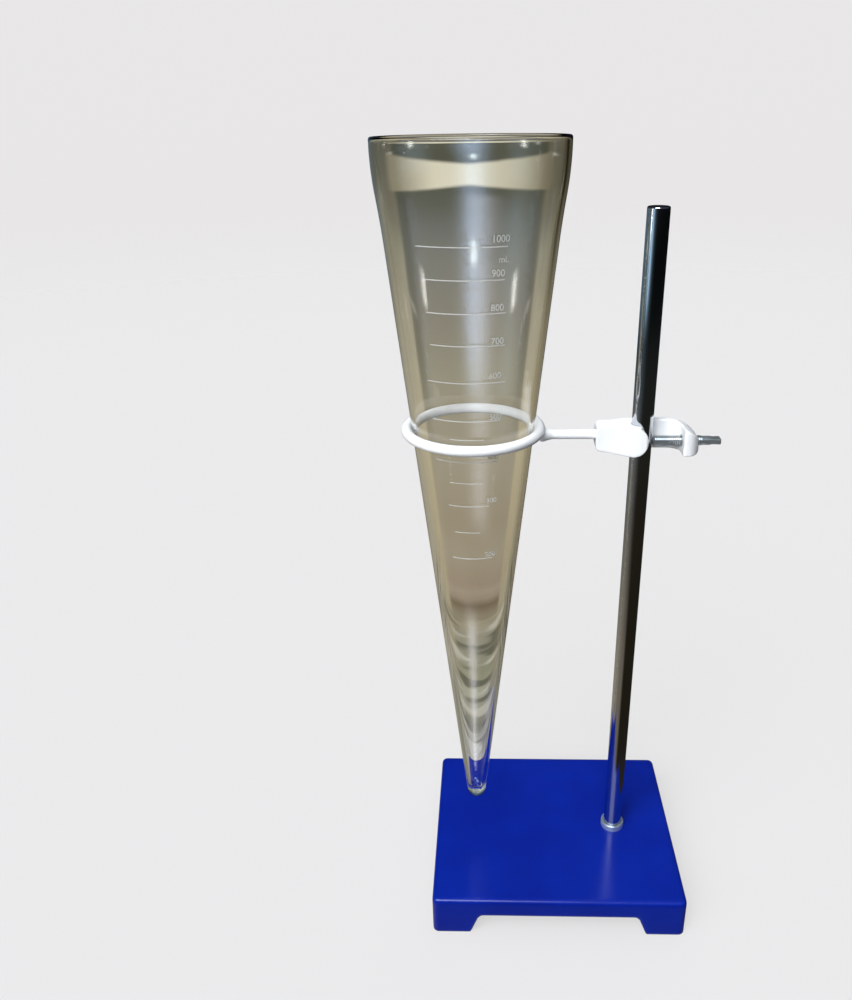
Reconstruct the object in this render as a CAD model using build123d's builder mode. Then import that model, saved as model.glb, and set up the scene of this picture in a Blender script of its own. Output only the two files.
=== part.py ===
from build123d import *
import math
import os

os.makedirs("parts", exist_ok=True)

# A graduated one-litre settling cone of clear glass, hung point down in the
# hoop of a ring stand. Millimetres, +Z up. The origin is on the surface the
# stand rests on, under the middle of the whole assembly's bounding box.

# ---------------------------------------------------------------- dimensions
# Plan positions of the three upright axes
rod_x = 55.3             # support rod
cone_x = -48.6           # glass cone and the hoop that carries it
base_x = 9.9             # middle of the base plate

# Base plate: a hollow casting on four corner feet, arched on every side
base_length = 177.6      # along X
base_depth = 146.2       # along Y
base_top = 31.1          # height of the top face
arch_height = 16.6       # clear height under the skirt
arch_end = 33.2          # from the end of the plate to the arch, at the skirt
foot_length = 26.8       # from the end of the plate to the arch, at the floor
base_corner = 4.0        # vertical corner radius
base_edge = 2.6          # top edge radius
skirt_wall = 6.5
top_wall = 5.5
stud_hole = 5.07         # radius of the hole for the rod's threaded end

# Support rod and the hardware that holds it in the plate
rod_radius = 6.5
rod_top = 482.9
stud_radius = 5.0
stud_pitch = 1.5
stud_bottom = 16.85
collar_radius = 8.5
collar_height = 4.6
washer_radius = 10.5
washer_thickness = 1.5
lock_radius = 8.8
lock_thickness = 1.8
nut_flats = 17.0
nut_height = 5.3

# Hoop and arm, 6.35 mm round bar; the arm is welded low on the hoop
ring_z = 353.5           # height of the hoop's centreline
arm_z = ring_z - 4.4     # height of the arm's axis
bar_radius = 3.175
ring_gap = 0.25          # between the hoop and the glass, square to the glass
arm_radius = 3.0
weld_radius = 4.6        # bead where the arm meets the hoop
weld_length = 5.0

# Boss head, a J-shaped casting that hooks behind the rod
screw_z = arm_z - 4.2    # height of the clamp screw's axis
boss_up = 11.4           # top of the casting above the screw's axis
boss_down = 7.5          # bottom of the casting below the screw's axis
boss_left = 28.5         # rod axis to the end that takes the arm
saddle_radius = 6.56     # running fit on the rod
lip_front = 11.2
arm_socket_depth = 12.0

# Clamp screw
screw_radius = 3.2
screw_bore = 3.26
screw_pitch = 1.27
screw_tip = 6.62         # rod axis to the tip, clamped
screw_neck = 36.6        # rod axis to the shoulder that carries the thumb piece
neck_radius = 2.2
thumb_end = 48.4
thumb_width = 7.2
thumb_thickness = 3.2
hub_radius = 2.85

# Settling cone, borosilicate glass
cone_length = 460.0
wall = 2.8
cone_r0 = 6.26           # radius where the straight side would meet the tip plane
cone_slope = 0.10701     # radius gained per millimetre of height
tip_radius = 6.966       # ball end tangent to the straight side
cavity_floor = 9.0       # thickness of solid glass at the tip

alpha = math.atan(cone_slope)
# The hoop touches the glass this far above its own centreline
contact_h_minus_ring = (bar_radius + ring_gap) * math.sin(alpha)
ring_h = 293.7           # hoop centreline above the cone's tip
cone_tip_z = ring_z - ring_h
contact_r = cone_r0 + cone_slope * (ring_h + contact_h_minus_ring)
ring_radius = contact_r + (bar_radius + ring_gap) * math.cos(alpha)
cone_rim_z = cone_tip_z + cone_length


def upright(x, z):
    """Plane facing -Y with its origin on the XZ plane at (x, z)."""
    return Plane(origin=(x, 0, z), x_dir=(1, 0, 0), z_dir=(0, -1, 0))


def side(h):
    """Outer radius of the cone's straight side at height h above the tip."""
    return cone_r0 + cone_slope * h


# ---------------------------------------------------------------- base plate
with BuildPart() as base_plate:
    with BuildSketch(Plane.XY) as plate_outline:
        with Locations((base_x, 0)):
            RectangleRounded(base_length, base_depth, base_corner)
    extrude(amount=base_top)
    # soft edge round the top face
    fillet(base_plate.faces().sort_by(Axis.Z)[-1].edges(), base_edge)
    # hollow underside
    with BuildSketch(Plane.XY) as pocket:
        with Locations((base_x, 0)):
            RectangleRounded(
                base_length - 2 * skirt_wall, base_depth - 2 * skirt_wall, 3.0
            )
    extrude(amount=base_top - top_wall, mode=Mode.SUBTRACT)
    # arches that leave a foot at each corner, front to back
    half = base_length / 2
    with BuildSketch(Plane.XZ.offset(-base_depth)) as long_arch:
        with BuildLine():
            Polyline(
                (base_x - half + foot_length, -1.0),
                (base_x - half + foot_length, 0.0),
                (base_x - half + arch_end, arch_height),
                (base_x + half - arch_end, arch_height),
                (base_x + half - foot_length, 0.0),
                (base_x + half - foot_length, -1.0),
                close=True,
            )
        make_face()
        fillet(long_arch.vertices().group_by(Axis.Y)[-1], 4.0)
    extrude(amount=2 * base_depth, mode=Mode.SUBTRACT)
    # and side to side
    halfd = base_depth / 2
    with BuildSketch(Plane.YZ.offset(-base_length)) as short_arch:
        with BuildLine():
            Polyline(
                (-halfd + foot_length, -1.0),
                (-halfd + foot_length, 0.0),
                (-halfd + arch_end, arch_height),
                (halfd - arch_end, arch_height),
                (halfd - foot_length, 0.0),
                (halfd - foot_length, -1.0),
                close=True,
            )
        make_face()
        fillet(short_arch.vertices().group_by(Axis.Y)[-1], 4.0)
    extrude(amount=2 * base_length, mode=Mode.SUBTRACT)
    # hole for the rod's threaded end
    with BuildSketch(Plane.XY) as stud_cut:
        with Locations((rod_x, 0)):
            Circle(stud_hole)
    extrude(amount=base_top + 1, mode=Mode.SUBTRACT)
    # feet broken at the floor
    chamfer(base_plate.faces().filter_by(Plane.XY).sort_by(Axis.Z)[:4].edges(), 0.5)
base_plate.part.label = "base_plate"
export_step(base_plate.part, "parts/base_plate.step")

# --------------------------------------------------------------- support rod
plate_under = base_top - top_wall
thread_top = plate_under - 0.3
teeth = int((thread_top - stud_bottom - 0.8) / stud_pitch)
stud_profile = [(0, stud_bottom), (stud_radius - 0.9, stud_bottom)]
z = stud_bottom + 0.8
stud_profile.append((stud_radius, z))
for i in range(teeth):
    stud_profile.append((stud_radius - 0.75, z + stud_pitch / 2))
    stud_profile.append((stud_radius, z + stud_pitch))
    z += stud_pitch
stud_profile += [
    (stud_radius, base_top),
    (rod_radius, base_top),
    (rod_radius, rod_top - 1.1),
    (rod_radius - 1.0, rod_top),
    (0, rod_top),
]
with BuildPart() as support_rod:
    with BuildSketch(upright(rod_x, 0)) as rod_half:
        with BuildLine():
            Polyline(*stud_profile, close=True)
        make_face()
    revolve(axis=Axis((rod_x, 0, 0), (0, 0, 1)))
support_rod.part.label = "support_rod"
export_step(support_rod.part, "parts/support_rod.step")

# Turned collar that dresses the foot of the rod
with BuildPart() as foot_collar:
    with BuildSketch(Plane.XY.offset(base_top)) as collar_ring:
        with Locations((rod_x, 0)):
            Circle(collar_radius)
            Circle(rod_radius + 0.03, mode=Mode.SUBTRACT)
    extrude(amount=collar_height)
    fillet(
        foot_collar.edges().filter_by(GeomType.CIRCLE).group_by(Axis.Z)[-1].sort_by(
            SortBy.RADIUS
        )[-1],
        1.1,
    )
    chamfer(
        foot_collar.edges().filter_by(GeomType.CIRCLE).group_by(Axis.Z)[-1].sort_by(
            SortBy.RADIUS
        )[0],
        0.4,
    )
foot_collar.part.label = "foot_collar"
export_step(foot_collar.part, "parts/foot_collar.step")

# Plain washer against the underside of the plate
with BuildPart() as plain_washer:
    with BuildSketch(Plane.XY.offset(plate_under - washer_thickness)) as washer_ring:
        with Locations((rod_x, 0)):
            Circle(washer_radius)
            Circle(stud_radius + 0.3, mode=Mode.SUBTRACT)
    extrude(amount=washer_thickness)
    chamfer(
        plain_washer.edges().filter_by(GeomType.CIRCLE).group_by(Axis.Z)[0].sort_by(
            SortBy.RADIUS
        )[-1],
        0.3,
    )
plain_washer.part.label = "plain_washer"
export_step(plain_washer.part, "parts/plain_washer.step")

# Split lock washer
lock_top = plate_under - washer_thickness
with BuildPart() as lock_washer:
    with BuildSketch(Plane.XY.offset(lock_top - lock_thickness)) as lock_ring:
        with Locations((rod_x, 0)):
            Circle(lock_radius)
            Circle(stud_radius + 0.2, mode=Mode.SUBTRACT)
        with Locations((rod_x + 7.0, 0)):
            Rectangle(6.0, 0.9, rotation=20, mode=Mode.SUBTRACT)
    extrude(amount=lock_thickness)
lock_washer.part.label = "lock_washer"
export_step(lock_washer.part, "parts/lock_washer.step")

# Hexagon nut
nut_top = lock_top - lock_thickness
with BuildPart() as rod_nut:
    with BuildSketch(Plane.XY.offset(nut_top - nut_height)) as nut_hex:
        with Locations((rod_x, 0)):
            RegularPolygon(nut_flats / 2, 6, major_radius=False)
            Circle(stud_radius + 0.03, mode=Mode.SUBTRACT)
    extrude(amount=nut_height)
    # corners turned back at 30 degrees on the lower face
    with BuildSketch(upright(rod_x, nut_top - nut_height)) as nut_turn:
        with BuildLine():
            Polyline(
                (nut_flats / 2 - 0.2, 0),
                (nut_flats / 2 + 3.0, 0),
                (nut_flats / 2 + 3.0, 3.2 * math.tan(math.radians(30))),
                close=True,
            )
        make_face()
    revolve(axis=Axis((rod_x, 0, 0), (0, 0, 1)), mode=Mode.SUBTRACT)
rod_nut.part.label = "rod_nut"
export_step(rod_nut.part, "parts/rod_nut.step")

# -------------------------------------------------------------- support hoop
with BuildPart() as support_ring:
    with BuildSketch(upright(cone_x, ring_z)) as bar_section:
        with Locations((ring_radius, 0)):
            Circle(bar_radius)
    revolve(axis=Axis((cone_x, 0, 0), (0, 0, 1)))
support_ring.part.label = "support_ring"
export_step(support_ring.part, "parts/support_ring.step")

# --------------------------------------------- arm welded to the hoop's side
arm_start = cone_x + ring_radius - 0.5
arm_end = rod_x - boss_left + arm_socket_depth
with BuildPart() as ring_arm:
    with BuildSketch(Plane.YZ.offset(arm_start)) as arm_section:
        with Locations((0, arm_z)):
            Circle(arm_radius)
    extrude(amount=arm_end - arm_start)
    # weld bead that runs out along the arm
    with BuildSketch(upright(cone_x, arm_z)) as weld_half:
        with BuildLine():
            b0 = ring_radius - 0.5
            b1 = ring_radius + bar_radius
            w1 = Line((b0, 0), (b0, weld_radius - 0.6))
            w2 = ThreePointArc(
                w1 @ 1, (b1 - 1.2, weld_radius), (b1 + 0.6, weld_radius - 0.5)
            )
            w3 = Line(w2 @ 1, (b1 + weld_length, arm_radius - 0.2))
            w4 = Line(w3 @ 1, (b1 + weld_length, 0))
            w5 = Line(w4 @ 1, w1 @ 0)
        make_face()
    revolve(axis=Axis((cone_x, 0, arm_z), (1, 0, 0)))
    # everything stops against the outside of the hoop
    with BuildSketch(upright(cone_x, ring_z)) as hoop_cut:
        with Locations((ring_radius, 0)):
            Circle(bar_radius)
    revolve(axis=Axis((cone_x, 0, 0), (0, 0, 1)), mode=Mode.SUBTRACT)
    with BuildSketch(Plane.XY.offset(arm_z - 10)) as inside_cut:
        with Locations((cone_x, 0)):
            Circle(ring_radius)
    extrude(amount=30, mode=Mode.SUBTRACT)
ring_arm.part.label = "ring_arm"
export_step(ring_arm.part, "parts/ring_arm.step")

# ----------------------------------------------------------------- boss head
boss_top = screw_z + boss_up
boss_bottom = screw_z - boss_down
with BuildPart() as boss_head:
    # plan outline: block, lip in front of the rod, arm behind it, hook
    with BuildSketch(Plane.XY.offset(boss_bottom)) as plan:
        with BuildLine(Plane((rod_x, 0, 0))):
            s = saddle_radius
            l1 = Line((-boss_left, 6.2), (-boss_left, -6.2))
            l2 = Spline(
                l1 @ 1,
                (-17.0, -7.6),
                (-8.0, -10.2),
                (-1.0, -lip_front),
                tangents=[(1, -0.02), (1, 0)],
            )
            l3 = Line(l2 @ 1, (1.2, -lip_front))
            l4 = ThreePointArc(l3 @ 1, (2.7, -10.4), (3.0, -8.8))
            l5 = ThreePointArc(l4 @ 1, (2.6, -7.4), (1.4, -s))
            l6 = Line(l5 @ 1, (0, -s))
            l7 = ThreePointArc(l6 @ 1, (-s, 0), (0, s))
            l8 = Line(l7 @ 1, (16.6, s))
            l9 = ThreePointArc(
                l8 @ 1,
                (16.6 + 8.0 * math.sin(math.pi / 4), s - 8.0 * (1 - math.cos(math.pi / 4))),
                (24.6, s - 8.0),
            )
            l10 = Line(l9 @ 1, (24.6, -7.6))
            l11 = ThreePointArc(l10 @ 1, (25.0, -8.9), (26.4, -9.4))
            l12 = Spline(
                l11 @ 1,
                (31.0, -8.0),
                (34.6, -3.4),
                (35.6, 1.0),
                (32.6, 7.2),
                (26.0, 10.8),
                (18.0, 11.6),
                tangents=[(1, 0.05), (-1, 0)],
            )
            l13 = Line(l12 @ 1, (-4.0, 11.6))
            l14 = Spline(
                l13 @ 1,
                (-11.0, 10.2),
                (-19.0, 7.6),
                (-boss_left, 6.2),
                tangents=[(-1, 0), (-1, -0.02)],
            )
        make_face()
    extrude(amount=boss_up + boss_down)
    # side view: the underside rises to the arm end, the hook falls away
    with BuildSketch(Plane.XZ.offset(-30)) as elevation:
        with BuildLine(Plane((rod_x, screw_z, 0))):
            e1 = Line((-boss_left - 1, boss_up - 3.2), (-boss_left - 1, -2.2))
            e2 = Line(e1 @ 1, (-boss_left, -2.2))
            e3 = ThreePointArc(e2 @ 1, (-boss_left + 0.9, -4.3), (-boss_left + 3.0, -5.2))
            e4 = Line(e3 @ 1, (-6.0, -boss_down))
            e5 = Line(e4 @ 1, (33.0, -boss_down))
            e6 = ThreePointArc(e5 @ 1, (35.6, -6.3), (36.4, -3.8))
            e7 = Spline(
                e6 @ 1,
                (36.1, -1.2),
                (34.9, 1.6),
                (32.6, 4.6),
                (29.5, 7.3),
                (26.0, 9.3),
                (22.5, 10.7),
                (19.0, boss_up),
            )
            e8 = Line(e7 @ 1, (-boss_left + 3.2, boss_up))
            e9 = ThreePointArc(e8 @ 1, (-boss_left + 0.9, boss_up - 0.9), (-boss_left, boss_up - 3.2))
            e10 = Line(e9 @ 1, e1 @ 0)
        make_face()
    extrude(amount=60, mode=Mode.INTERSECT)
    # the lip ends in a half round
    lip_end = 3.0
    lip_h = (boss_up + boss_down) / 2
    lip_z = screw_z + (boss_up - boss_down) / 2
    with BuildSketch(Plane.XZ.offset(saddle_radius - 0.01)) as lip_round:
        with Locations((rod_x + lip_end - lip_h + 15, lip_z)):
            Rectangle(30, 2 * lip_h + 2)
        with Locations((rod_x + lip_end - lip_h, lip_z)):
            Circle(lip_h, mode=Mode.SUBTRACT)
        with Locations((rod_x + lip_end + 30, lip_z)):
            Rectangle(29.0, 60, mode=Mode.SUBTRACT)
    extrude(amount=8, mode=Mode.SUBTRACT)
    # socket for the arm
    with BuildSketch(Plane.YZ.offset(rod_x - boss_left - 1)) as socket:
        with Locations((0, arm_z)):
            Circle(arm_radius)
    extrude(amount=arm_socket_depth + 1, mode=Mode.SUBTRACT)
    # bore for the clamp screw, through the hook
    with BuildSketch(Plane.YZ.offset(rod_x + 20)) as screw_hole:
        with Locations((0, screw_z)):
            Circle(screw_bore)
    extrude(amount=20, mode=Mode.SUBTRACT)
boss_head.part.label = "boss_head"
export_step(boss_head.part, "parts/boss_head.step")

# --------------------------------------------------------------- clamp screw
screw_line = [
    (screw_tip, 0),
    (screw_tip, screw_radius - 1.0),
    (screw_tip + 0.9, screw_radius - 0.55),
]
x = screw_tip + 0.9
while x + screw_pitch < screw_neck - 0.4:
    screw_line.append((x + screw_pitch / 2, screw_radius))
    screw_line.append((x + screw_pitch, screw_radius - 0.55))
    x += screw_pitch
screw_line += [
    (x + 0.3, screw_radius - 0.1),
    (screw_neck, screw_radius - 0.1),
    (screw_neck, neck_radius),
    (screw_neck + 4.2, neck_radius),
    (screw_neck + 4.5, neck_radius - 0.3),
    (screw_neck + 4.5, 0),
]
with BuildPart() as clamp_screw:
    with BuildSketch(upright(rod_x, screw_z)) as screw_half:
        with BuildLine():
            Polyline(*screw_line, close=True)
        make_face()
    revolve(axis=Axis((rod_x, 0, screw_z), (1, 0, 0)))
clamp_screw.part.label = "clamp_screw"
export_step(clamp_screw.part, "parts/clamp_screw.step")

# Thumb piece: a hub on the screw's neck, flattened into a spade
hub_start = rod_x + screw_neck + 0.05
spade_start = rod_x + screw_neck + 3.0
with BuildPart() as thumb_piece:
    with BuildSketch(Plane.YZ.offset(hub_start)) as hub:
        with Locations((0, screw_z)):
            Circle(hub_radius)
    extrude(amount=rod_x + 43.4 - hub_start)
    fillet(thumb_piece.edges().filter_by(GeomType.CIRCLE).sort_by(Axis.X)[-1], 1.4)
    with BuildSketch(Plane.XY.offset(screw_z - thumb_thickness / 2)) as spade:
        with BuildLine(Plane((rod_x, 0, 0))):
            w = thumb_width / 2
            Polyline(
                (38.4, -2.4),
                (38.4, 2.4),
                (44.6, w - 0.5),
                (thumb_end, w),
                (thumb_end, -w),
                (44.6, -w + 0.5),
                close=True,
            )
        make_face()
        fillet(spade.vertices().group_by(Axis.X)[-1], 0.8)
    extrude(amount=thumb_thickness)
    with BuildSketch(Plane.YZ.offset(rod_x + 30)) as neck_bore:
        with Locations((0, screw_z)):
            Circle(neck_radius + 0.05)
    extrude(amount=screw_neck + 4.6 - 30, mode=Mode.SUBTRACT)
thumb_piece.part.label = "thumb_piece"
export_step(thumb_piece.part, "parts/thumb_piece.step")

# ------------------------------------------------------------- settling cone
# Straight-sided glass cone with a ball end, barrelled a little below the
# mouth, and a fire-rounded lip. The very end of the point is solid glass.
tangent_h = tip_radius * (1 - math.sin(alpha))
tangent_r = tip_radius * math.cos(alpha)
cavity_tan = cavity_floor + 4.4
cavity_r = side(cavity_tan) - wall
cavity_ball = cavity_r / math.cos(alpha)
cavity_mid = cavity_tan + cavity_r * math.tan(alpha)
shoulder = 404.0         # the side starts to flare here
waist_h = 430.0          # flare turns back here
waist_r = side(shoulder) + 3.45
mouth_h = 457.0          # side is upright from here
mouth_r = 55.06
lip_r = wall / 2
d45 = math.sqrt(0.5)
with BuildPart() as settling_cone:
    with BuildSketch(upright(cone_x, cone_tip_z)) as cone_half:
        with BuildLine():
            a1 = ThreePointArc(
                (0, 0),
                (
                    tip_radius * math.sin(math.radians(42)),
                    tip_radius * (1 - math.cos(math.radians(42))),
                ),
                (tangent_r, tangent_h),
            )
            a2 = Line(a1 @ 1, (side(shoulder), shoulder))
            a3 = TangentArc(a2 @ 1, (waist_r, waist_h), tangent=(cone_slope, 1))
            a4 = TangentArc(a3 @ 1, (mouth_r, mouth_h), tangent=a3 % 1)
            a5 = Line(a4 @ 1, (mouth_r, cone_length - lip_r))
            a6 = ThreePointArc(
                a5 @ 1,
                (mouth_r - lip_r, cone_length),
                (mouth_r - wall, cone_length - lip_r),
            )
            a7 = Line(a6 @ 1, (mouth_r - wall, mouth_h))
            a8 = TangentArc(a7 @ 1, (waist_r - wall, waist_h), tangent=(0, -1))
            a9 = TangentArc(a8 @ 1, (side(shoulder) - wall, shoulder), tangent=a8 % 1)
            a10 = Line(a9 @ 1, (cavity_r, cavity_tan))
            a11 = ThreePointArc(
                a10 @ 1,
                (cavity_ball * d45, cavity_mid - cavity_ball * d45),
                (0, cavity_mid - cavity_ball),
            )
            a12 = Line(a11 @ 1, (0, 0))
        make_face()
    revolve(axis=Axis((cone_x, 0, 0), (0, 0, 1)))
settling_cone.part.label = "settling_cone"
export_step(settling_cone.part, "parts/settling_cone.step")

print("hoop radius", round(ring_radius, 3), "cone tip z", round(cone_tip_z, 3))
print("rim z", round(cone_rim_z, 3), "screw z", round(screw_z, 3))
print("x from", round(cone_x - 55.1, 3), "to", round(rod_x + thumb_end, 3))
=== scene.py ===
import bpy, bmesh, math
from mathutils import Matrix, Vector
from mathutils.geometry import tessellate_polygon


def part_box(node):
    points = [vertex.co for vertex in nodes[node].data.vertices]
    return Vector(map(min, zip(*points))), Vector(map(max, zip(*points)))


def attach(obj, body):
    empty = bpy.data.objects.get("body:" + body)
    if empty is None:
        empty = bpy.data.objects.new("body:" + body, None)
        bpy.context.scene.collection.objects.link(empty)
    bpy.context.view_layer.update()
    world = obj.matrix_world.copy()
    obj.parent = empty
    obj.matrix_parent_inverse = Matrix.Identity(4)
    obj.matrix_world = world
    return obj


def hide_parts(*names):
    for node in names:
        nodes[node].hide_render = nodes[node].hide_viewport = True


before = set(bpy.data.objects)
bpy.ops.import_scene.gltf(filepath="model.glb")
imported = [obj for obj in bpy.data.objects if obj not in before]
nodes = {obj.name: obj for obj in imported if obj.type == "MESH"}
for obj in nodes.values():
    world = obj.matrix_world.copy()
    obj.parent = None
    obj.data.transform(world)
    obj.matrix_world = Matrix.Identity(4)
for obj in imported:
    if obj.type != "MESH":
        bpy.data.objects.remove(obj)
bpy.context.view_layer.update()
scene = bpy.context.scene
MM = 0.001

# ------------------------------------------------------------------ node help
class S:
    """A value in a node tree that can be added, multiplied and so on."""

    def __init__(self, tree, out):
        self.tree, self.out = tree, out

    def _m(self, op, *args, clamp=False):
        n = self.tree.nodes.new("ShaderNodeMath")
        n.operation, n.use_clamp = op, clamp
        for i, a in enumerate(args):
            if isinstance(a, S):
                self.tree.links.new(a.out, n.inputs[i])
            else:
                n.inputs[i].default_value = a
        return S(self.tree, n.outputs[0])

    def __add__(self, o): return self._m("ADD", self, o)
    __radd__ = __add__
    def __sub__(self, o): return self._m("SUBTRACT", self, o)
    def __rsub__(self, o): return self._m("SUBTRACT", o, self)
    def __mul__(self, o): return self._m("MULTIPLY", self, o)
    __rmul__ = __mul__
    def __truediv__(self, o): return self._m("DIVIDE", self, o)
    def __abs__(self): return self._m("ABSOLUTE", self)
    def exp(self): return self._m("EXPONENT", self)
    def clamp(self): return self._m("ADD", self, 0.0, clamp=True)
    def power(self, p): return self._m("POWER", self, p)
    def min(self, o): return self._m("MINIMUM", self, o)
    def max(self, o): return self._m("MAXIMUM", self, o)

    def step(self, a, b):
        """0 below a, 1 above b, smooth between (a may be above b)."""
        n = self.tree.nodes.new("ShaderNodeMapRange")
        n.interpolation_type = "SMOOTHSTEP"
        lo, hi, fl, fh = (a, b, 0.0, 1.0) if a < b else (b, a, 1.0, 0.0)
        n.inputs["From Min"].default_value, n.inputs["From Max"].default_value = lo, hi
        n.inputs["To Min"].default_value, n.inputs["To Max"].default_value = fl, fh
        self.tree.links.new(self.out, n.inputs["Value"])
        return S(self.tree, n.outputs["Result"])

    def ramp(self, stops, interpolation="LINEAR"):
        """Colour by value: stops are (value, (r, g, b)), in rising order."""
        lo, hi = stops[0][0], stops[-1][0]
        n = self.tree.nodes.new("ShaderNodeValToRGB")
        n.color_ramp.interpolation = interpolation
        e = n.color_ramp.elements
        while len(e) < len(stops):
            e.new(0.5)
        for k, (v, c) in enumerate(stops):
            e[k].position = (v - lo) / (hi - lo)
            e[k].color = (*c, 1.0)
        t = (self - lo) / (hi - lo)
        self.tree.links.new(t.out, n.inputs["Fac"])
        return n.outputs["Color"]


def mixc(tree, fac, a, b, mode="MIX"):
    """Mix of two colours; each is a socket or an (r, g, b)."""
    n = tree.nodes.new("ShaderNodeMix")
    n.data_type, n.blend_type = "RGBA", mode
    n.clamp_factor = True
    for i, v in ((0, fac), (6, a), (7, b)):
        if isinstance(v, S):
            tree.links.new(v.out, n.inputs[i])
        elif isinstance(v, (tuple, list)):
            n.inputs[i].default_value = (*v, 1.0)
        elif isinstance(v, (int, float)):
            n.inputs[i].default_value = v
        else:
            tree.links.new(v, n.inputs[i])
    return n.outputs[2]


# ---------------------------------------------------------------- world light
# Camera rays see a pale studio wall. Everything that reflects or refracts sees
# the dim room the stand is lit in: a soft window strip behind the viewer, a
# dark room to the right and a brown bench beyond the stand.
world = bpy.data.worlds.new("studio_room")
scene.world = world
world.use_nodes = True
wt = world.node_tree
wt.nodes.clear()
tc = wt.nodes.new("ShaderNodeTexCoord")
sep = wt.nodes.new("ShaderNodeSeparateXYZ")
wt.links.new(tc.outputs["Generated"], sep.inputs[0])
dx, dy, dz = (S(wt, sep.outputs[i]) for i in range(3))
az = dx._m("ARCTAN2", dx, dy) * (180 / math.pi)      # 0 straight ahead, + right
el = dz._m("ARCSINE", dz._m("ADD", dz, 0.0)) * (180 / math.pi)
path = wt.nodes.new("ShaderNodeLightPath")
through = S(wt, path.outputs["Is Transmission Ray"])
solid = S(wt, path.outputs["Transmission Depth"]).step(3.2, 2.2)   # only the solid point


def glow(sock, weight, colour):
    """Adds a colour times a weight to what is there already."""
    n = wt.nodes.new("ShaderNodeMix")
    n.data_type, n.blend_type, n.clamp_factor = "RGBA", "ADD", False
    wt.links.new(weight.out, n.inputs[0])
    wt.links.new(sock, n.inputs[6])
    n.inputs[7].default_value = (*colour, 1.0)
    return n.outputs[2]


def window(a0, sa, e0, e1, soft):
    """Weight of an upright soft window at azimuth a0, elevations e0 to e1."""
    d = (az - (a0 - 540.0))._m("MODULO", az - (a0 - 540.0), 360.0) - 180.0   # wraps round behind
    g = ((d * (1.0 / sa)) * (d * (1.0 / sa)) * -1.0).exp()
    return g * el.step(e0 - soft, e0 + soft) * el.step(e1 + soft, e1 - soft)


# what is seen through the glass: a dim middle between lighter walls, darker
# again far out, above all to the right
off = az + 1.5
middle = el.ramp([
    (-60, (0.50, 0.49, 0.47)),
    (-41, (0.62, 0.62, 0.62)),
    (-40.2, (0.60, 0.60, 0.60)),
    (-39.6, (0.23, 0.23, 0.21)),
    (-38.8, (0.27, 0.27, 0.22)),
    (-37.3, (0.44, 0.43, 0.35)),
    (-36, (0.30, 0.30, 0.21)),
    (-33.5, (0.33, 0.31, 0.24)),
    (-32.2, (0.39, 0.34, 0.23)),
    (-31.7, (0.20, 0.155, 0.10)),
    (-31.2, (0.20, 0.155, 0.10)),
    (-30.8, (0.43, 0.36, 0.27)),
    (-30, (0.36, 0.29, 0.21)),
    (-28, (0.39, 0.34, 0.25)),
    (-26, (0.365, 0.31, 0.22)),
    (-22, (0.395, 0.35, 0.26)),
    (-16, (0.36, 0.335, 0.25)),
    (-12, (0.29, 0.27, 0.22)),
    (-8.5, (0.24, 0.24, 0.21)),
    (-6.7, (0.185, 0.19, 0.17)),
    (-5, (0.125, 0.128, 0.10)),
    (-2, (0.10, 0.10, 0.065)),
    (-1, (0.12, 0.115, 0.085)),
    (4, (0.22, 0.20, 0.16)),
    (20, (0.05, 0.05, 0.05)),
    (60, (0.02, 0.02, 0.03)),
])
walls = el.ramp([
    (-60, (0.48, 0.46, 0.42)),
    (-40, (0.40, 0.40, 0.36)),
    (-37, (0.28, 0.26, 0.19)),
    (-34, (0.37, 0.33, 0.23)),
    (-28, (0.45, 0.38, 0.25)),
    (-22, (0.52, 0.45, 0.30)),
    (-16, (0.49, 0.44, 0.32)),
    (-12, (0.42, 0.385, 0.28)),
    (-8.5, (0.34, 0.325, 0.24)),
    (-6.7, (0.205, 0.19, 0.14)),
    (-5, (0.17, 0.155, 0.11)),
    (-1, (0.14, 0.13, 0.09)),
    (6, (0.10, 0.09, 0.07)),
    (60, (0.02, 0.02, 0.02)),
])
outer_left = el.ramp([
    (-60, (0.45, 0.43, 0.38)),
    (-36, (0.34, 0.32, 0.26)),
    (-22, (0.44, 0.40, 0.29)),
    (-14, (0.39, 0.35, 0.25)),
    (-8.5, (0.23, 0.215, 0.15)),
    (-6, (0.125, 0.11, 0.065)),
    (-1, (0.105, 0.092, 0.052)),
    (60, (0.03, 0.03, 0.02)),
])
outer_right = el.ramp([
    (-60, (0.42, 0.40, 0.35)),
    (-36, (0.22, 0.20, 0.15)),
    (-22, (0.36, 0.31, 0.20)),
    (-14, (0.25, 0.22, 0.14)),
    (-8.5, (0.17, 0.15, 0.09)),
    (-6, (0.11, 0.095, 0.055)),
    (-1, (0.10, 0.085, 0.05)),
    (60, (0.02, 0.02, 0.02)),
])
tan_band = off.ramp([
    (-20, (0.12, 0.11, 0.07)),
    (-11, (0.26, 0.23, 0.155)),
    (-8, (0.32, 0.29, 0.20)),
    (-6, (0.46, 0.42, 0.31)),
    (-3, (0.80, 0.75, 0.59)),
    (0, (0.84, 0.81, 0.66)),
    (3, (0.66, 0.62, 0.48)),
    (6, (0.42, 0.39, 0.28)),
    (8, (0.26, 0.23, 0.16)),
    (11, (0.17, 0.145, 0.09)),
    (20, (0.10, 0.09, 0.06)),
])
notch = abs(off).step(5.2, 7.6) * abs(off).step(10.0, 8.4) * el.step(-24, -14) * 0.42
middle = mixc(wt, notch, middle, (0.05, 0.05, 0.03))
beyond = mixc(wt, abs(off).step(8.2, 9.8), middle, walls)
bow = (el - (abs(off) * -0.085 - 4.05)).step(0.0, 0.32) * (el - (abs(off) * 0.055 - 2.55)).step(0.0, -0.28)
bow = bow * abs(off).step(12.5, 9.5)
beyond = mixc(wt, bow, beyond, tan_band)
beyond = mixc(wt, off.step(-16, -22), beyond, outer_left)
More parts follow.
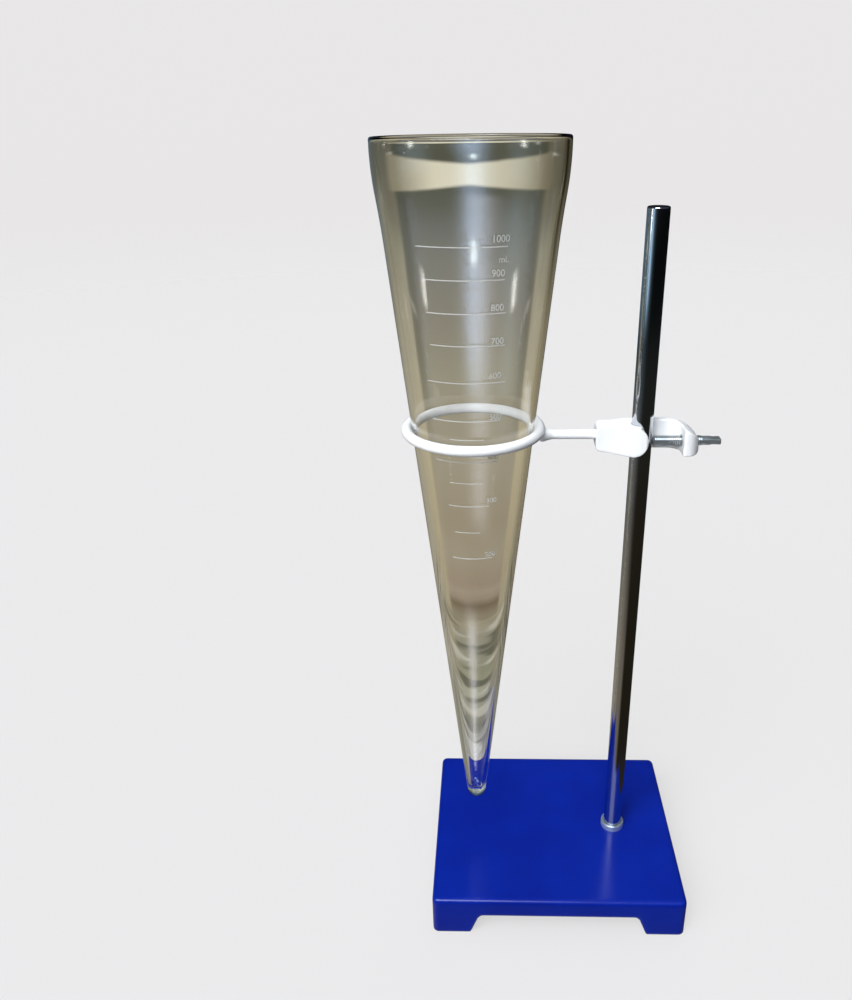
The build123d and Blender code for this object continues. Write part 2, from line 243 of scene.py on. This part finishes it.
beyond = mixc(wt, off.step(16, 22), beyond, outer_right)
beyond = mixc(wt, off.step(24, 34) * el.step(-17, -7), beyond, (0.012, 0.010, 0.006))
nz = wt.nodes.new("ShaderNodeTexNoise")
nz.inputs["Scale"].default_value, nz.inputs["Detail"].default_value = 1.0, 2.0
spread = wt.nodes.new("ShaderNodeCombineXYZ")
for axis, value in zip("XYZ", (az * 0.028, el * 0.95, el * 0.0)):
    wt.links.new(value.out, spread.inputs[axis])
wt.links.new(spread.outputs[0], nz.inputs["Vector"])
mottle = S(wt, nz.outputs[0])
blotched = el.step(-31.8, -33) * el.step(-42, -40)
beyond = mixc(wt, mottle.step(0.50, 0.60) * blotched * 0.75, beyond, (0.085, 0.085, 0.06))
beyond = mixc(wt, mottle.step(0.46, 0.36) * blotched * 0.7, beyond, (0.62, 0.60, 0.53))
beyond = mixc(wt, solid * el.step(-39.5, -41.5), beyond, (0.22, 0.22, 0.17))
# the dim room as it is mirrored
behind = el.ramp([
    (-90, (0.55, 0.58, 0.60)),
    (-66, (0.50, 0.53, 0.55)),
    (-52, (0.06, 0.06, 0.06)),
    (-40, (0.018, 0.014, 0.009)),
    (-25, (0.020, 0.016, 0.010)),
    (-17, (0.016, 0.018, 0.016)),
    (-9, (0.004, 0.005, 0.005)),
    (2, (0.004, 0.004, 0.004)),
    (14, (0.03, 0.035, 0.05)),
    (30, (0.06, 0.075, 0.11)),
    (90, (0.03, 0.04, 0.06)),
])
behind = mixc(wt, abs(az).step(80, 50) * el.step(8, 18), behind, (0.006, 0.006, 0.006))
left_wall = el.ramp([
    (-60, (0.35, 0.31, 0.23)),
    (-36, (0.34, 0.30, 0.225)),
    (-25, (0.165, 0.15, 0.132)),
    (-18.5, (0.145, 0.16, 0.165)),
    (-16.5, (0.085, 0.11, 0.115)),
    (-13.5, (0.04, 0.055, 0.07)),
    (-10, (0.10, 0.15, 0.185)),
    (0, (0.10, 0.17, 0.23)),
    (20, (0.04, 0.05, 0.06)),
])
behind = mixc(wt, az.step(-176, -92) * az.step(8, -20) * el.step(16, 4), behind, left_wall)
behind = mixc(wt, az.step(-178, -150) * az.step(-90, -118) * el.step(-27, -37) * 0.9, behind, (0.20, 0.17, 0.13))
bounced = S(wt, path.outputs["Glossy Depth"]).step(0.4, 0.6)
front_side = abs(az).step(95, 72).max((1.0 - bounced) * abs(az).step(105, 125))
room = mixc(wt, front_side * through, behind, beyond)
lit = through * bounced                    # lamps show only where the glass mirrors them
straight = through * (1.0 - bounced) * S(wt, path.outputs["Transmission Depth"]).step(3.3, 3.7)
room = mixc(wt, straight * abs(off).step(20, 32), room, walls)      # seen through both walls from another side
room = glow(room, lit * window(-178, 17, -4, 26, 4) * 4.2, (0.60, 0.80, 1.18))     # streak down the glass
room = glow(room, lit * window(-178, 5, 3.4, 4.9, 0.5) * 9.0, (0.9, 1.0, 1.0))     # lamp in it
room = glow(room, lit * window(166, 21, -38, -20, 1.5) * 4.2, (0.90, 0.90, 1.02))   # its foot
room = glow(room, lit * window(97, 4, -1.9, 0.3, 0.5) * 9.0, (1.0, 1.0, 0.98))
room = glow(room, lit * window(-110, 4, -1.5, 0.7, 0.5) * 9.0, (1.0, 1.0, 0.98))
room = glow(room, lit * window(67, 5, -4.5, -3.9, 0.3) * 2.5, (1.0, 0.97, 0.9))
room = glow(room, lit * window(-78, 5, -3.9, -3.3, 0.3) * 2.5, (1.0, 0.97, 0.9))
room = glow(room, window(-117, 16, -9, 10, 3.5) * 1.25, (0.40, 0.57, 0.74))          # streak down the rod
broad = (az - (-155 - 540.0))._m("MODULO", az - (-155 - 540.0), 360.0) - 180.0
first = S(wt, path.outputs["Glossy Depth"]).step(1.6, 1.4)
room = glow(room, (first * 0.6 + 0.4) * abs(broad).step(31, 21) * el.step(26, 38) * el.step(76, 66) * 6.6, (0.93, 0.99, 1.10))   # ridge of the base
pale = dz.ramp([(-1.0, (0.79, 0.775, 0.785)), (0.0, (0.81, 0.797, 0.805)), (1.0, (0.82, 0.81, 0.815))])
final = mixc(wt, S(wt, path.outputs["Is Camera Ray"]), room, pale)
bg = wt.nodes.new("ShaderNodeBackground")
wt.links.new(final, bg.inputs["Color"])
bg.inputs["Strength"].default_value = 1.0
wo = wt.nodes.new("ShaderNodeOutputWorld")
wt.links.new(bg.outputs[0], wo.inputs["Surface"])

# --------------------------------------------------------------------- camera
F = 850.29
pitch, yaw, roll = (math.radians(v) for v in (24.27, -1.89, -0.78))
fwd0 = Vector((math.sin(yaw), math.cos(yaw), 0))
right = Vector((math.cos(yaw), -math.sin(yaw), 0))
up0 = Vector((0, 0, 1))
fwd = fwd0 * math.cos(pitch) - up0 * math.sin(pitch)
up = fwd0 * math.sin(pitch) + up0 * math.cos(pitch)
r2 = right * math.cos(roll) + up * math.sin(roll)
u2 = up * math.cos(roll) - right * math.sin(roll)
cam_data = bpy.data.cameras.new("camera")
cam_data.sensor_fit = "HORIZONTAL"
cam_data.sensor_width = 36.0
cam_data.lens = F / 852 * 36.0
cam_data.shift_x = -40.0 / 852
cam_data.clip_start, cam_data.clip_end = 0.02, 60
cam = bpy.data.objects.new("camera", cam_data)
scene.collection.objects.link(cam)
m = Matrix.Identity(4)
for i, v in enumerate((r2, u2, -fwd)):
    for k in range(3):
        m[k][i] = v[k]
m.translation = Vector((-0.03721, -0.49759, 0.52894))
cam.matrix_world = m
scene.camera = cam
scene.view_settings.view_transform = "Standard"
scene.view_settings.look = "None"


# --------------------------------------------------------------------- lights
def sun(name, direction, angle, power, colour=(1, 1, 1), glossy=False):
    """Very large soft light from far off, so the floor is lit evenly."""
    d = bpy.data.lights.new(name, "SUN")
    d.angle, d.energy, d.color = math.radians(angle), power, colour
    o = bpy.data.objects.new(name, d)
    o.location = Vector(direction).normalized() * 3
    o.rotation_euler = Vector(direction).to_track_quat("Z", "Y").to_euler()
    scene.collection.objects.link(o)
    o.visible_camera = False
    o.visible_glossy = glossy
    o.visible_transmission = False
    return o


sun("key", (-1.0, -1.1, 1.25), 45, 1.7, (1.0, 0.99, 0.97))
sun("fill", (-0.1, -1.4, 0.5), 50, 0.75, (0.97, 0.98, 1.0))
sun("top", (-0.1, 0.1, 1.9), 60, 1.0, (1, 1, 1))
sun("back", (0.4, 1.3, 0.8), 60, 0.5, (1, 1, 1))


# ------------------------------------------------------------------ materials
def material(name):
    mt = bpy.data.materials.new(name)
    mt.use_nodes = True
    t = mt.node_tree
    t.nodes.clear()
    out = t.nodes.new("ShaderNodeOutputMaterial")
    p = t.nodes.new("ShaderNodeBsdfPrincipled")
    t.links.new(p.outputs[0], out.inputs["Surface"])
    return mt, t, p


def coords(t, scale=(1, 1, 1)):
    c = t.nodes.new("ShaderNodeTexCoord")
    mp = t.nodes.new("ShaderNodeMapping")
    mp.inputs["Scale"].default_value = scale
    t.links.new(c.outputs["Object"], mp.inputs["Vector"])
    return mp.outputs[0]


def noise(t, vec, scale, detail=3.0, rough=0.5, distortion=0.0):
    n = t.nodes.new("ShaderNodeTexNoise")
    n.inputs["Scale"].default_value = scale
    n.inputs["Detail"].default_value = detail
    n.inputs["Roughness"].default_value = rough
    n.inputs["Distortion"].default_value = distortion
    t.links.new(vec, n.inputs["Vector"])
    return S(t, n.outputs[0])


def bump(t, height, strength, distance, normal=None):
    n = t.nodes.new("ShaderNodeBump")
    n.inputs["Strength"].default_value = strength
    n.inputs["Distance"].default_value = distance
    t.links.new(height.out, n.inputs["Height"])
    if normal is not None:
        t.links.new(normal, n.inputs["Normal"])
    return n.outputs[0]


# deep blue stoved enamel over a sand casting
blue, t, p = material("blue_enamel")
v = coords(t)
blotch = noise(t, v, 22, 4, 0.55)
peel = noise(t, v, 420, 2, 0.5)
sand = noise(t, v, 75, 4, 0.6)
specks = noise(t, v, 900, 2, 0.5)
t.links.new(mixc(t, blotch.step(0.35, 0.7), (0.0004, 0.0105, 0.215), (0.0005, 0.0135, 0.250)), p.inputs["Base Color"])
t.links.new((0.30 + 0.14 * blotch).out, p.inputs["Roughness"])
p.inputs["Specular IOR Level"].default_value = 0.10
p.inputs["Coat Weight"].default_value = 0.9
p.inputs["Coat Roughness"].default_value = 0.18
b1 = bump(t, sand, 0.35, 0.00035)
b2 = bump(t, peel, 0.16, 0.00010, b1)
t.links.new(b2, p.inputs["Normal"])
t.links.new(b2, p.inputs["Coat Normal"])

# polished chrome bar with faint draw lines along it
chrome, t, p = material("chrome_bar")
lines = noise(t, coords(t, (1, 1, 0.012)), 1500, 3, 0.6)
haze = noise(t, coords(t, (1, 1, 0.35)), 60, 4, 0.6)
p.inputs["Metallic"].default_value = 1.0
t.links.new(mixc(t, haze.step(0.3, 0.75), (0.60, 0.62, 0.65), (0.68, 0.70, 0.72)), p.inputs["Base Color"])
t.links.new((0.05 + 0.09 * haze.step(0.35, 0.8) + 0.05 * lines).out, p.inputs["Roughness"])
t.links.new(bump(t, lines, 0.10, 0.00002), p.inputs["Normal"])

# bright zinc plate, turned marks
zinc, t, p = material("bright_zinc")
turn = noise(t, coords(t, (0.06, 0.06, 1)), 4000, 3, 0.6)
cloud = noise(t, coords(t), 260, 3, 0.6)
p.inputs["Metallic"].default_value = 0.8
t.links.new(mixc(t, cloud, (0.46, 0.56, 0.66), (0.62, 0.72, 0.82)), p.inputs["Base Color"])
t.links.new((0.26 + 0.20 * cloud).out, p.inputs["Roughness"])
t.links.new(bump(t, turn, 0.25, 0.00004), p.inputs["Normal"])

# white epoxy dip coating, slightly lumpy
white, t, p = material("white_coating")
v = coords(t)
lump = noise(t, v, 130, 3, 0.5)
peel = noise(t, v, 700, 2, 0.5)
soil = noise(t, v, 45, 5, 0.6)
t.links.new(mixc(t, soil.step(0.45, 0.8), (0.93, 0.935, 0.93), (0.88, 0.89, 0.875)), p.inputs["Base Color"])
t.links.new((0.30 + 0.15 * soil).out, p.inputs["Roughness"])
p.inputs["Coat Weight"].default_value = 0.35
p.inputs["Coat Roughness"].default_value = 0.18
t.links.new(bump(t, peel, 0.18, 0.00012, bump(t, lump, 0.35, 0.0005)), p.inputs["Normal"])

# nickel screw
nickel, t, p = material("chrome_screw")
grime = noise(t, coords(t), 380, 4, 0.6)
p.inputs["Metallic"].default_value = 0.8
t.links.new(mixc(t, grime.step(0.4, 0.75), (0.50, 0.55, 0.56), (0.38, 0.41, 0.42)), p.inputs["Base Color"])
t.links.new((0.14 + 0.16 * grime).out, p.inputs["Roughness"])
t.links.new(bump(t, noise(t, coords(t), 2500, 2, 0.5), 0.08, 0.00002), p.inputs["Normal"])

# clear borosilicate glass, faintly wavy from drawing
glass, t, p = material("clear_glass")
wave = noise(t, coords(t, (1, 1, 0.25)), 38, 2, 0.45)
tint = noise(t, coords(t), 12, 2, 0.5)
p.inputs["Roughness"].default_value = 0.0
p.inputs["IOR"].default_value = 1.474
gc = t.nodes.new("ShaderNodeTexCoord")
gs = t.nodes.new("ShaderNodeSeparateXYZ")
t.links.new(gc.outputs["Object"], gs.inputs[0])
painted_blue_tip = S(t, gs.outputs[2]).step(0.0690, 0.0655)          # painted reflection: the clear glass of the solid ball end is tinted with the plate's blue seen through it
t.links.new(mixc(t, painted_blue_tip, mixc(t, tint, (0.955, 0.955, 0.935), (0.985, 0.985, 0.97)), (0.50, 0.74, 1.0)), p.inputs["Base Color"])
p.inputs["Transmission Weight"].default_value = 1.0
t.links.new(bump(t, wave, 0.10, 0.0006), p.inputs["Normal"])

# fired white ceramic of the graduations
ceramic, t, p = material("white_ceramic")
grain = noise(t, coords(t), 1800, 3, 0.6)
t.links.new(mixc(t, grain.step(0.3, 0.8), (0.66, 0.66, 0.62), (0.46, 0.46, 0.43)), p.inputs["Base Color"])
t.links.new((0.45 + 0.2 * grain).out, p.inputs["Roughness"])
t.links.new(bump(t, grain, 0.3, 0.00003), p.inputs["Normal"])


# ------------------------------------------------------------------ mesh help
def obj_from(name, verts, faces, mat, smooth=True, angle=None):
    me = bpy.data.meshes.new(name)
    me.from_pydata([tuple(v) for v in verts], [], faces)
    bm = bmesh.new()
    bm.from_mesh(me)
    bmesh.ops.recalc_face_normals(bm, faces=bm.faces)
    bm.to_mesh(me)
    bm.free()
    me.materials.append(mat)
    o = bpy.data.objects.new(name, me)
    scene.collection.objects.link(o)
    if smooth:
        me.shade_smooth()
        if angle:
            me.set_sharp_from_angle(angle=math.radians(angle))
    return o


def revolved(name, profile, centre, axis, mat, seg=128, angle=None):
    """Closed solid turned about an axis through centre. profile is (radius,
    distance along the axis) from one axis point to the other."""
    a = Vector(axis).normalized()
    e1 = a.orthogonal().normalized()
    if abs(a.z) > 0.9:
        e1 = Vector((1, 0, 0))
    e2 = a.cross(e1)
    c = Vector(centre)
    verts, rings = [], []
    for r, s in profile:
        if r < 1e-9:
            rings.append([len(verts)])
            verts.append(c + a * s)
        else:
            rings.append(list(range(len(verts), len(verts) + seg)))
            for k in range(seg):
                w = 2 * math.pi * k / seg
                verts.append(c + a * s + e1 * (r * math.cos(w)) + e2 * (r * math.sin(w)))
    faces = []
    for A, B in zip(rings, rings[1:]):
        for k in range(seg):
            l = (k + 1) % seg
            if len(A) == 1 and len(B) == 1:
                continue
            if len(A) == 1:
                faces.append((A[0], B[k], B[l]))
            elif len(B) == 1:
                faces.append((A[k], A[l], B[0]))
            else:
                faces.append((A[k], A[l], B[l], B[k]))
    return obj_from(name, verts, faces, mat, True, angle)


def evaluated(o):
    """The object's mesh with its modifiers applied, as a plain mesh."""
    dg = bpy.context.evaluated_depsgraph_get()
    me = bpy.data.meshes.new_from_object(o.evaluated_get(dg))
    return me


def softened(name, source_mesh, mat, voxel, smooth_steps, factor=0.5):
    """A remeshed copy with every edge softly rounded."""
    o = bpy.data.objects.new(name, source_mesh.copy())
    scene.collection.objects.link(o)
    for attempt in list(o.data.materials):
        o.data.materials.clear()
    r = o.modifiers.new("voxels", "REMESH")
    r.mode, r.voxel_size, r.adaptivity = "VOXEL", voxel, 0.0
    s = o.modifiers.new("soft", "SMOOTH")
    s.factor, s.iterations = factor, smooth_steps
    me = evaluated(o)
    me.name = name
    o.modifiers.clear()
    o.data = me
    me.materials.clear()
    me.materials.append(mat)
    me.shade_smooth()
    return o


def weld(name, parts):
    """One mesh holding several closed shells, for remeshing."""
    bm = bmesh.new()
    for o in parts:
        bm.from_mesh(o.data)
    me = bpy.data.meshes.new(name)
    bm.to_mesh(me)
    bm.free()
    for o in parts:
        bpy.data.objects.remove(o)
    return me


# ----------------------------------------------------------- main dimensions
cone_x, rod_x, base_x = -48.6, 55.3, 9.9
tip_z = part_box("settling_cone")[0].z / MM
ring_z, screw_z = 353.5, 344.9
slope = 0.10701
alpha = math.atan(slope)


def side(h):
    return 6.26 + slope * h


# ----------------------------------------------------------------- glass cone
def arc3(p0, p1, p2, n):
    """Points on the circle through three points, without p0."""
    (ax, ay), (bx, by), (cx, cy) = p0, p1, p2
    d = 2 * (ax * (by - cy) + bx * (cy - ay) + cx * (ay - by))
    ux = ((ax**2 + ay**2) * (by - cy) + (bx**2 + by**2) * (cy - ay) + (cx**2 + cy**2) * (ay - by)) / d
    uy = ((ax**2 + ay**2) * (cx - bx) + (bx**2 + by**2) * (ax - cx) + (cx**2 + cy**2) * (bx - ax)) / d
    r = math.hypot(ax - ux, ay - uy)
    t0, t1, t2 = (math.atan2(y - uy, x - ux) for x, y in (p0, p1, p2))

    def unwrap(t, ref):
        while t < ref - math.pi:
            t += 2 * math.pi
        while t > ref + math.pi:
            t -= 2 * math.pi
        return t
    t1 = unwrap(t1, t0)
    t2 = unwrap(t2, t1)
    return [(ux + r * math.cos(t0 + (t2 - t0) * k / n), uy + r * math.sin(t0 + (t2 - t0) * k / n)) for k in range(1, n + 1)]


def tangent_arc(p0, p2, tangent, n):
    """Points on the arc from p0 to p2 that leaves p0 along tangent, and the
    direction at its end."""
    p0v, p2v, tv = Vector(p0), Vector(p2), Vector(tangent).normalized()
    chord = p2v - p0v
    half = math.atan2(tv.x * chord.y - tv.y * chord.x, tv.dot(chord))
    nrm = Vector((-tv.y, tv.x))
    r = chord.length / (2 * math.sin(half))
    c = p0v + nrm * r
    pts = []
    for k in range(1, n + 1):
        w = 2 * half * k / n
        d = p0v - c
        pts.append((c.x + d.x * math.cos(w) - d.y * math.sin(w), c.y + d.x * math.sin(w) + d.y * math.cos(w)))
    w = 2 * half
    end = (tv.x * math.cos(w) - tv.y * math.sin(w), tv.x * math.sin(w) + tv.y * math.cos(w))
    return pts, end


def straight(p0, p1, n):
    return [(p0[0] + (p1[0] - p0[0]) * k / n, p0[1] + (p1[1] - p0[1]) * k / n) for k in range(1, n + 1)]


wall = 2.8
tip_r = 6.966
tan_h, tan_r = tip_r * (1 - math.sin(alpha)), tip_r * math.cos(alpha)
cav_tan = 9.0 + 4.4
cav_r = side(cav_tan) - wall
cav_ball = cav_r / math.cos(alpha)
cav_mid = cav_tan + cav_r * math.tan(alpha)
shoulder, waist_h, mouth_h, length = 404.0, 430.0, 457.0, 460.0
waist_r, mouth_r = side(shoulder) + 3.45, 55.06
lip = wall / 2
prof = [(0.0, 0.0)]
prof += arc3((0, 0), (tip_r * math.sin(math.radians(42)), tip_r * (1 - math.cos(math.radians(42)))), (tan_r, tan_h), 18)
prof += straight(prof[-1], (side(shoulder), shoulder), 60)
pts, d1 = tangent_arc(prof[-1], (waist_r, waist_h), (slope, 1), 14)
prof += pts
pts, d2 = tangent_arc(prof[-1], (mouth_r, mouth_h), d1, 16)
prof += pts
prof += [(mouth_r, length - lip)]
prof += arc3((mouth_r, length - lip), (mouth_r - lip, length), (mouth_r - wall, length - lip), 12)
prof += [(mouth_r - wall, mouth_h)]
pts, d3 = tangent_arc(prof[-1], (waist_r - wall, waist_h), (0, -1), 16)
prof += pts
pts, d4 = tangent_arc(prof[-1], (side(shoulder) - wall, shoulder), d3, 14)
prof += pts
prof += straight(prof[-1], (cav_r, cav_tan), 60)
q = math.sqrt(0.5)
prof += arc3(prof[-1], (cav_ball * q, cav_mid - cav_ball * q), (0, cav_mid - cav_ball), 16)
prof[-1] = (0.0, prof[-1][1])
prof = [(r * MM, h * MM) for r, h in prof]
cone = revolved("glass_cone", prof, (cone_x * MM, 0, tip_z * MM), (0, 0, 1), glass, 192)
cone.visible_shadow = False
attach(cone, "cone")
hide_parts("settling_cone")


def on_cone(u, h, t):
    """Point on the glass: u is azimuth in radians from the front, h the height
    above the tip, t the height above the glass, in millimetres."""
    r = side(h) + t * math.cos(alpha)
    return Vector(((cone_x + r * math.sin(u)) * MM, -r * math.cos(u) * MM, (tip_z + h - t * math.sin(alpha)) * MM))


# graduations: (litre hundreds, height above tip, azimuth left, right, width)
marks = [
    ("1000", 408.2, -33.9, 23.4, 0.50), ("900", 391.2, -31.8, 22.5, 0.50), ("800", 373.4, -31.1, 24.4, 0.50),
    ("700", 355.5, -30.3, 25.0, 0.48), ("600", 334.1, -35.5, 26.7, 0.48), ("500", 311.0, -35.4, 24.2, 0.48),
    ("450", 299.4, -19.2, 10.6, 0.35), ("400", 284.9, -35.7, 24.4, 0.45), ("350", 270.9, -22.2, 10.3, 0.35),
    ("300", 255.2, -25.3, 17.0, 0.45), ("250", 236.7, -20.5, 7.8, 0.35), ("200", 217.6, -25.7, 23.2, 0.45),
]
numbers = {
    "1000": (412.1, 18.8), "mL": (401.6, 21.2), "900": (394.6, 18.0), "800": (376.4, 18.2), "700": (357.9, 19.1),
    "600": (338.1, 18.2), "500": (313.3, 20.0), "400": (287.6, 19.3), "300": (258.8, 19.5), "200": (220.3, 20.4),
}
verts, faces = [], []
for name, h, a0, a1, w in marks:
    n = 40
    for k in range(n + 1):
        a = math.radians(a0 + (a1 - a0) * k / n)
        base = len(verts)
        for dh, dt in ((-w / 2, -0.03), (w / 2, -0.03), (w / 2, 0.10), (-w / 2, 0.10)):
            verts.append(on_cone(a, h + dh, dt))
        if k:
            b = base - 4
            for i in range(4):
                j = (i + 1) % 4
                faces.append((b + i, b + j, base + j, base + i))
        if k in (0, n):
            faces.append(tuple(base + i for i in range(4)))
lines_o = obj_from("graduation_lines", verts, faces, ceramic, False)
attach(lines_o, "cone")


def flat_text(text, size):
    """Filled outline of a word as (points, faces), centred, in millimetres."""
    c = bpy.data.curves.new("t", "FONT")
    c.body, c.size, c.align_x, c.align_y = text, 1.0, "CENTER", "CENTER"
    c.resolution_u = 5
    o = bpy.data.objects.new("t", c)
    scene.collection.objects.link(o)
    me = evaluated(o)
    bm = bmesh.new()
    bm.from_mesh(me)
    bmesh.ops.remove_doubles(bm, verts=bm.verts, dist=1e-5)
    bmesh.ops.triangulate(bm, faces=bm.faces)
    bm.verts.ensure_lookup_table()
    pts = [(v.co.x * size, v.co.y * size) for v in bm.verts]
    fs = [tuple(v.index for v in f.verts) for f in bm.faces]
    edges = [tuple(v.index for v in e.verts) for e in bm.edges if len(e.link_faces) == 1]
    bm.free()
    bpy.data.objects.remove(o)
    return pts, fs, edges


verts, faces = [], []
for name, (h0, a0) in numbers.items():
    tall = 5.2 if name != "mL" else 4.8
    if h0 < 300:
        tall *= 0.90
    pts, fs, edges = flat_text(name, tall)
    r = side(h0)
    front, back = len(verts), len(verts) + len(pts)
    for tt in (0.10, -0.03):
        for x, y in pts:
            verts.append(on_cone(math.radians(a0) + x * 0.95 / r, h0 + y, tt))
    for f in fs:
        faces.append(tuple(front + i for i in f))
        faces.append(tuple(back + i for i in reversed(f)))
    for i, j in edges:
        faces.append((front + i, front + j, back + j, back + i))
numbers_o = obj_from("graduation_numbers", verts, faces, ceramic, False)
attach(numbers_o, "cone")

# ----------------------------------------------------------------- hoop + arm
ring_r, bar = 41.133, 3.175
N, K = 220, 36
verts, faces = [], []
for i in range(N):
    a = 2 * math.pi * i / N
    for k in range(K):
        b = 2 * math.pi * k / K
        r = ring_r + bar * math.cos(b)
        verts.append(Vector(((cone_x + r * math.cos(a)) * MM, r * math.sin(a) * MM, (ring_z + bar * math.sin(b)) * MM)))
for i in range(N):
    for k in range(K):
        faces.append((i * K + k, ((i + 1) % N) * K + k, ((i + 1) % N) * K + (k + 1) % K, i * K + (k + 1) % K))
hoop = obj_from("hoop_raw", verts, faces, white)
arm_copy = nodes["ring_arm"].data.copy()
arm_copy.materials.clear()
arm_raw = bpy.data.objects.new("arm_raw", arm_copy)
scene.collection.objects.link(arm_raw)
hoop_arm = softened("hoop_and_arm", weld("hoop_and_arm_raw", [hoop, arm_raw]), white, 0.00034, 5)
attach(hoop_arm, "clamp")
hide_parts("support_ring", "ring_arm")

boss = softened("clamp_casting", nodes["boss_head"].data, white, 0.00036, 18)
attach(boss, "clamp")
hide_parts("boss_head")

# ----------------------------------------------------------------------- base
base = softened("base_casting", nodes["base_plate"].data, blue, 0.0009, 5)
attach(base, "base")
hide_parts("base_plate")

# ------------------------------------------------------------------------ rod
rp = [(0, 16.85), (4.1, 16.85)]
z = 17.65
rp.append((5.0, z))
teeth = int((25.3 - 16.85 - 0.8) / 1.5)
for i in range(teeth):
    rp.append((4.25, z + 0.75))
    rp.append((5.0, z + 1.5))
    z += 1.5
rp += [(5.0, 31.1), (6.5, 31.1), (6.5, 36), (6.5, 100), (6.5, 200), (6.5, 300), (6.5, 400), (6.5, 481.6)]
rp += [(6.5 - 1.1 * (1 - math.cos(a)), 481.6 + 1.1 * math.sin(a)) for a in (math.radians(k) for k in (15, 30, 45, 60, 75, 90))]
rp += [(0, 482.9)]
rod = revolved("chromed_rod", [(r * MM, s * MM) for r, s in rp], (rod_x * MM, 0, 0), (0, 0, 1), chrome, 96, 32)
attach(rod, "rod")
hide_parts("support_rod")

# ---------------------------------------------------------------- clamp screw
pitch_mm, n_turn = 1.27, 40
x0, x1 = 6.62, 36.6
steps = int((x1 - x0) / (pitch_mm / 10))
verts, faces = [], []


def thread_r(x, w):
    ph = (x / pitch_mm - w / (2 * math.pi)) % 1.0
    tri = 1 - abs(2 * ph - 1)
    cut = min(1.0, max(0.0, (tri - 0.10) / 0.80))
    r = 3.00 + 0.20 * cut
    lead = min(1.0, (x - x0) / 1.0)
    tail = min(1.0, (x1 - x) / 0.8)
    r = min(r, 2.1 + 1.1 * lead)
    return r if tail >= 1.0 else r + (3.1 - r) * (1 - tail)


for i in range(steps + 1):
    x = x0 + (x1 - x0) * i / steps
    for k in range(n_turn):
        w = 2 * math.pi * k / n_turn
        r = thread_r(x, w)
        verts.append(Vector(((rod_x + x) * MM, r * math.cos(w) * MM, (screw_z + r * math.sin(w)) * MM)))
for i in range(steps):
    for k in range(n_turn):
        l = (k + 1) % n_turn
        faces.append((i * n_turn + k, i * n_turn + l, (i + 1) * n_turn + l, (i + 1) * n_turn + k))
faces.append(tuple(range(n_turn)))
last = steps * n_turn
neck = []
for x, r in ((36.6, 2.2), (40.8, 2.2), (41.1, 1.9)):
    neck.append([len(verts) + k for k in range(n_turn)])
    for k in range(n_turn):
        w = 2 * math.pi * k / n_turn
        verts.append(Vector(((rod_x + x) * MM, r * math.cos(w) * MM, (screw_z + r * math.sin(w)) * MM)))
prev = [last + k for k in range(n_turn)]
for ring in neck:
    for k in range(n_turn):
        l = (k + 1) % n_turn
        faces.append((prev[k], prev[l], ring[l], ring[k]))
    prev = ring
faces.append(tuple(reversed(prev)))
screw = obj_from("threaded_screw", verts, faces, nickel, True, 50)
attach(screw, "screw")
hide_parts("clamp_screw")

thumb = softened("thumb_spade", nodes["thumb_piece"].data, nickel, 0.00018, 4)
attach(thumb, "thumb")
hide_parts("thumb_piece")

# carried-over CAD nodes
for n in ("foot_collar", "plain_washer", "lock_washer", "rod_nut"):
    o = nodes[n]
    o.data.materials.clear()
    o.data.materials.append(zinc)
    bv = o.modifiers.new("soft_edges", "BEVEL")
    bv.limit_method, bv.angle_limit = "ANGLE", math.radians(40)
    bv.width, bv.segments = (0.0010, 5) if n == "foot_collar" else (0.0002, 2)

# ---------------------------------------------------------------------- floor
verts = [Vector((0, 0, 0))]
seg, rings = 96, [0.4, 1.0, 2.0, 4.0, 7.0]
faces = []
for r in rings:
    for k in range(seg):
        w = 2 * math.pi * k / seg
        verts.append(Vector((r * math.cos(w), r * math.sin(w), 0)))
for k in range(seg):
    faces.append((0, 1 + k, 1 + (k + 1) % seg))
for i in range(len(rings) - 1):
    for k in range(seg):
        l = (k + 1) % seg
        A, B = 1 + i * seg, 1 + (i + 1) * seg
        faces.append((A + k, A + l, B + l, B + k))
me = bpy.data.meshes.new("floor")
me.from_pydata([tuple(v) for v in verts], [], faces)
floor = bpy.data.objects.new("floor", me)
scene.collection.objects.link(floor)
floor_m = bpy.data.materials.new("studio_floor")
floor_m.use_nodes = True
t = floor_m.node_tree
t.nodes.clear()
c = t.nodes.new("ShaderNodeTexCoord")
ln = t.nodes.new("ShaderNodeVectorMath")
ln.operation = "LENGTH"
t.links.new(c.outputs["Object"], ln.inputs[0])
far = S(t, ln.outputs["Value"]).step(1.2, 5.5)
em = t.nodes.new("ShaderNodeEmission")
em.inputs["Color"].default_value = (0.592, 0.583, 0.580, 1)
em.inputs["Strength"].default_value = 1.0
df = t.nodes.new("ShaderNodeBsdfDiffuse")
df.inputs["Color"].default_value = (0.17, 0.17, 0.17, 1)
ad = t.nodes.new("ShaderNodeAddShader")
t.links.new(em.outputs[0], ad.inputs[0])
t.links.new(df.outputs[0], ad.inputs[1])
tr = t.nodes.new("ShaderNodeBsdfTransparent")
mx = t.nodes.new("ShaderNodeMixShader")
t.links.new(far.out, mx.inputs[0])
t.links.new(ad.outputs[0], mx.inputs[1])
t.links.new(tr.outputs[0], mx.inputs[2])
out = t.nodes.new("ShaderNodeOutputMaterial")
t.links.new(mx.outputs[0], out.inputs["Surface"])
me.materials.append(floor_m)
floor.visible_glossy = False
floor.visible_diffuse = False
floor.visible_transmission = False
